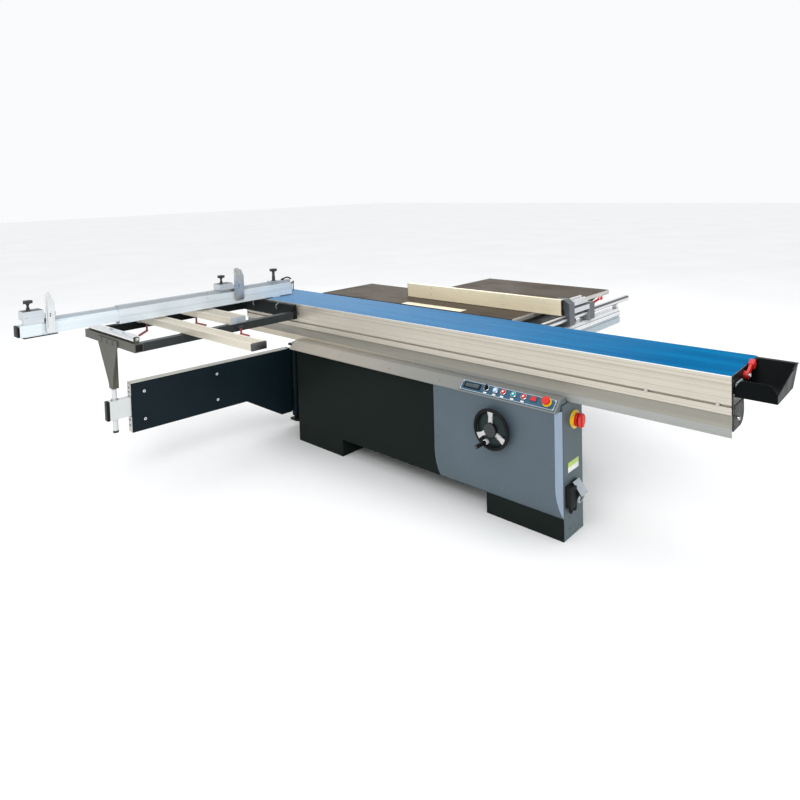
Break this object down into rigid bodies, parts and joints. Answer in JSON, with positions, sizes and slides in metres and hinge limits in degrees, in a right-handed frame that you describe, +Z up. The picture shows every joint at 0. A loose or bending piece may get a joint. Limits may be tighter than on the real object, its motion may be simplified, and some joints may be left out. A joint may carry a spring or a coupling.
{
  "type": "panel saw",
  "caption": "Sliding-table panel saw with an outrigger on a swing arm, cross-cut and rip fences, tilting saw unit, control console and handwheel.",
  "frame": {"origin": "middle of the machine's footprint box, on the floor", "axes": "+X along the sliding carriage towards the operator's end, +Y from the carriage towards the fixed tables, +Z up"},
  "size_m": [3.395, 3.076, 1.107],
  "materials": {
    "black_paint": "satin powder coat, slightly olive black",
    "cover_paint": "fine-textured blue-grey powder coat",
    "hood_paint": "light warm grey powder coat",
    "console_foil": "printed blue console foil, satin",
    "cabinet_paint": "grey powder coat",
    "post_paint": "off-white powder coat",
    "olive_paint": "dark olive-grey powder coat",
    "saw_unit_paint": "dark grey machine paint",
    "profile_aluminium": "anodised extrusion with fine lengthwise lines",
    "fence_aluminium": "pale anodised extrusion",
    "rail_aluminium": "natural anodised extrusion",
    "blue_film": "vivid blue protective film, glossy",
    "table_iron": "ground and oiled cast iron, glossy",
    "bracket_paint": "black paint on table brackets",
    "carrier_iron": "dark grey painted casting",
    "bright_bar": "ground and plated round bar",
    "bright_steel": "bright steel",
    "black_plastic": "moulded black plastic, fine grain",
    "tray_plastic": "moulded black bin",
    "knob_plastic": "moulded dark grey knob",
    "red_plastic": "moulded red plastic",
    "dull_red": "dull red cast lever",
    "yellow_plastic": "yellow collars of the emergency and mains switches",
    "blue_white_plastic": "blue-white push button",
    "teal_plastic": "teal push button",
    "belt_rubber": "black ribbed belt"
  },
  "bodies": {
    "base": {"base_frame": "black_paint", "front_panel": "black_paint", "front_cover": "cover_paint", "switch_cabinet": "cabinet_paint", "cover_hood": "hood_paint", "console_plate": "console_foil", "switch_bases": "yellow_plastic", "power_inlet": "black_plastic", "beam_profile": "profile_aluminium", "beam_end_caps": "black_plastic", "main_table": "table_iron", "extension_table": "table_iron", "table_brackets": "bracket_paint", "fence_rail": "rail_aluminium", "fence_bar": "bright_bar", "arm_bracket": "black_paint"},
    "carriage": {"carriage_profile": "profile_aluminium", "carriage_film": "blue_film", "carriage_end_plates": "black_plastic", "tray": "tray_plastic", "outrigger_frame": "black_paint", "outrigger_beam": "olive_paint", "outrigger_rails": "rail_aluminium", "outrigger_clamps": "dull_red"},
    "arm": {"arm_box": "black_paint"},
    "saw_head": {"saw_head": "saw_unit_paint", "main_motor": "saw_unit_paint", "drive_belt": "belt_rubber", "riving_knife": "bright_steel"},
    "roller_cage": {"roller_cage": "bright_steel"},
    "lock_lever": {"lock_lever": "red_plastic"},
    "support_rail": {"support_rail": "rail_aluminium"},
    "outer_roller": {"outer_roller": "bright_steel"},
    "crosscut_fence": {"crosscut_fence": "fence_aluminium"},
    "swivel_knob": {"swivel_knob": "knob_plastic"},
    "fence_extension": {"fence_extension": "fence_aluminium"},
    "stop_slider_1": {"stop_slider_1": "fence_aluminium"},
    "stop_slider_2": {"stop_slider_2": "fence_aluminium"},
    "stop_blade_1": {"stop_blade_1": "bright_steel"},
    "stop_blade_2": {"stop_blade_2": "bright_steel"},
    "stop_knob_1": {"stop_knob_1": "knob_plastic"},
    "stop_knob_2": {"stop_knob_2": "knob_plastic"},
    "arm_tube": {"arm_tube": "post_paint"},
    "fence_carrier": {"fence_carrier": "carrier_iron"},
    "rip_fence": {"rip_fence": "fence_aluminium"},
    "carrier_lever": {"carrier_lever": "red_plastic"},
    "tilt_frame": {"tilt_frame": "saw_unit_paint"},
    "motor_pulley": {"motor_pulley": "bright_steel"},
    "saw_blade": {"saw_blade": "bright_steel"},
    "scoring_blade": {"scoring_blade": "bright_steel"},
    "handwheel": {"handwheel": "black_plastic"},
    "handwheel_handle": {"handwheel_handle": "black_plastic"},
    "selector_knob": {"selector_knob": "black_plastic"},
    "push_button_1": {"push_button_1": "blue_white_plastic"},
    "push_button_2": {"push_button_2": "red_plastic"},
    "push_button_3": {"push_button_3": "teal_plastic"},
    "push_button_4": {"push_button_4": "red_plastic"},
    "rocker_switch": {"rocker_switch": "red_plastic"},
    "estop_button": {"estop_button": "red_plastic"},
    "isolator_knob": {"isolator_knob": "red_plastic"}
  },
  "joints": [
    {"name": "carriage_slide", "type": "slide", "parent": "base", "child": "carriage", "axis": [1, 0, 0], "range_m": [0, 1.5]},
    {"name": "roller_cage_slide", "type": "slide", "parent": "base", "child": "roller_cage", "axis": [1, 0, 0], "range_m": [0, 0.75]},
    {"name": "lock_lever_turn", "type": "hinge", "parent": "carriage", "child": "lock_lever", "pos_m": [1.5535, 0.12, 0.836], "axis": [1, 0, 0], "range_deg": [0, 50]},
    {"name": "support_rail_slide", "type": "slide", "parent": "carriage", "child": "support_rail", "axis": [1, 0, 0], "range_m": [-0.5, 0]},
    {"name": "outer_roller_spin", "type": "hinge", "parent": "carriage", "child": "outer_roller", "pos_m": [-1.3565, -1.085, 0.841], "axis": [1, 0, 0], "continuous": true},
    {"name": "crosscut_swivel", "type": "hinge", "parent": "carriage", "child": "crosscut_fence", "pos_m": [-1.4355, 0.044, 0.9], "axis": [0, 0, 1], "range_deg": [-45, 45]},
    {"name": "swivel_knob_turn", "type": "hinge", "parent": "crosscut_fence", "child": "swivel_knob", "pos_m": [-1.4355, 0.044, 1], "axis": [0, 0, 1], "range_deg": [0, 540]},
    {"name": "extension_slide", "type": "slide", "parent": "crosscut_fence", "child": "fence_extension", "axis": [0, -1, 0], "range_m": [0, 0.3]},
    {"name": "stop_1_slide", "type": "slide", "parent": "fence_extension", "child": "stop_slider_1", "axis": [0, 1, 0], "range_m": [0, 0.3]},
    {"name": "stop_2_slide", "type": "slide", "parent": "crosscut_fence", "child": "stop_slider_2", "axis": [0, 1, 0], "range_m": [-0.55, 0.15]},
    {"name": "stop_1_flip", "type": "hinge", "parent": "stop_slider_1", "child": "stop_blade_1", "pos_m": [-1.4145, -1.39, 0.986], "axis": [0, -1, 0], "range_deg": [0, 95]},
    {"name": "stop_2_flip", "type": "hinge", "parent": "stop_slider_2", "child": "stop_blade_2", "pos_m": [-1.4145, -0.255, 0.986], "axis": [0, -1, 0], "range_deg": [0, 95]},
    {"name": "stop_1_knob_turn", "type": "hinge", "parent": "stop_slider_1", "child": "stop_knob_1", "pos_m": [-1.4395, -1.48, 1.05], "axis": [0, 0, 1], "range_deg": [0, 540]},
    {"name": "stop_2_knob_turn", "type": "hinge", "parent": "stop_slider_2", "child": "stop_knob_2", "pos_m": [-1.4395, -0.36, 1.04], "axis": [0, 0, 1], "range_deg": [0, 540]},
    {"name": "arm_swing", "type": "hinge", "parent": "base", "child": "arm", "pos_m": [-1.2565, 0.062, 0.3], "axis": [0, 0, 1], "range_deg": [0, 55.4]},
    {"name": "arm_reach", "type": "slide", "parent": "arm", "child": "arm_tube", "axis": [-0.0883, -0.9961, 0], "range_m": [0, 0.651]},
    {"name": "fence_carrier_slide", "type": "slide", "parent": "base", "child": "fence_carrier", "axis": [0, 1, 0], "range_m": [-0.2, 0.33]},
    {"name": "rip_fence_slide", "type": "slide", "parent": "fence_carrier", "child": "rip_fence", "axis": [1, 0, 0], "range_m": [0, 0.5]},
    {"name": "carrier_lever_turn", "type": "hinge", "parent": "fence_carrier", "child": "carrier_lever", "pos_m": [0.5035, 0.92, 0.884], "axis": [0, 1, 0], "range_deg": [-60, 0]},
    {"name": "saw_tilt", "type": "hinge", "parent": "base", "child": "tilt_frame", "pos_m": [-0.3565, 0.3415, 0.865], "axis": [-1, 0, 0], "range_deg": [0, 45]},
    {"name": "saw_rise", "type": "slide", "parent": "tilt_frame", "child": "saw_head", "axis": [0, 0, 1], "range_m": [0, 0.09]},
    {"name": "blade_spin", "type": "hinge", "parent": "saw_head", "child": "saw_blade", "pos_m": [-0.3565, 0.37, 0.698], "axis": [0, 1, 0], "continuous": true},
    {"name": "motor_spin", "type": "hinge", "parent": "saw_head", "child": "motor_pulley", "pos_m": [-0.3565, 0.42, 0.38], "axis": [0, 1, 0], "continuous": true},
    {"name": "scoring_spin", "type": "hinge", "parent": "tilt_frame", "child": "scoring_blade", "pos_m": [-0.1165, 0.37, 0.797], "axis": [0, 1, 0], "continuous": true},
    {"name": "handwheel_turn", "type": "hinge", "parent": "base", "child": "handwheel", "pos_m": [0.5295, -0.17, 0.46], "axis": [0, 1, 0], "range_deg": [0, 5400]},
    {"name": "handle_spin", "type": "hinge", "parent": "handwheel", "child": "handwheel_handle", "pos_m": [0.49907, -0.21, 0.39475], "axis": [0, 1, 0], "continuous": true},
    {"name": "selector_turn", "type": "hinge", "parent": "base", "child": "selector_knob", "pos_m": [0.4695, -0.11645, 0.63263], "axis": [0, -0.6743, 0.7385], "range_deg": [0, 60]},
    {"name": "push_button_1_press", "type": "slide", "parent": "base", "child": "push_button_1", "axis": [0, 0.6743, -0.7385], "range_m": [0, 0.003], "stiffness_N_per_m": 800},
    {"name": "push_button_2_press", "type": "slide", "parent": "base", "child": "push_button_2", "axis": [0, 0.6743, -0.7385], "range_m": [0, 0.003], "stiffness_N_per_m": 800},
    {"name": "push_button_3_press", "type": "slide", "parent": "base", "child": "push_button_3", "axis": [0, 0.6743, -0.7385], "range_m": [0, 0.003], "stiffness_N_per_m": 800},
    {"name": "push_button_4_press", "type": "slide", "parent": "base", "child": "push_button_4", "axis": [0, 0.6743, -0.7385], "range_m": [0, 0.003], "stiffness_N_per_m": 800},
    {"name": "rocker_tip", "type": "hinge", "parent": "base", "child": "rocker_switch", "pos_m": [0.7295, -0.11712, 0.63337], "axis": [-1, 0, 0], "range_deg": [0, 14]},
    {"name": "estop_press", "type": "slide", "parent": "base", "child": "estop_button", "axis": [0, 0.6743, -0.7385], "range_m": [0, 0.004], "stiffness_N_per_m": 1500},
    {"name": "isolator_turn", "type": "hinge", "parent": "base", "child": "isolator_knob", "pos_m": [0.8835, 0.018, 0.532], "axis": [1, 0, 0], "range_deg": [0, 90]}
  ],
  "couplings": [
    {"joint": "roller_cage_slide", "follows": "carriage_slide", "ratio": 0.5},
    {"joint": "arm_swing", "follows": "carriage_slide", "rad_per_m": 0.6436},
    {"joint": "arm_reach", "follows": "carriage_slide", "ratio": 0.4337},
    {"joint": "blade_spin", "follows": "motor_spin", "ratio": 1.375},
    {"joint": "handwheel_turn", "follows": "saw_rise", "rad_per_m": 1047.1}
  ]
}
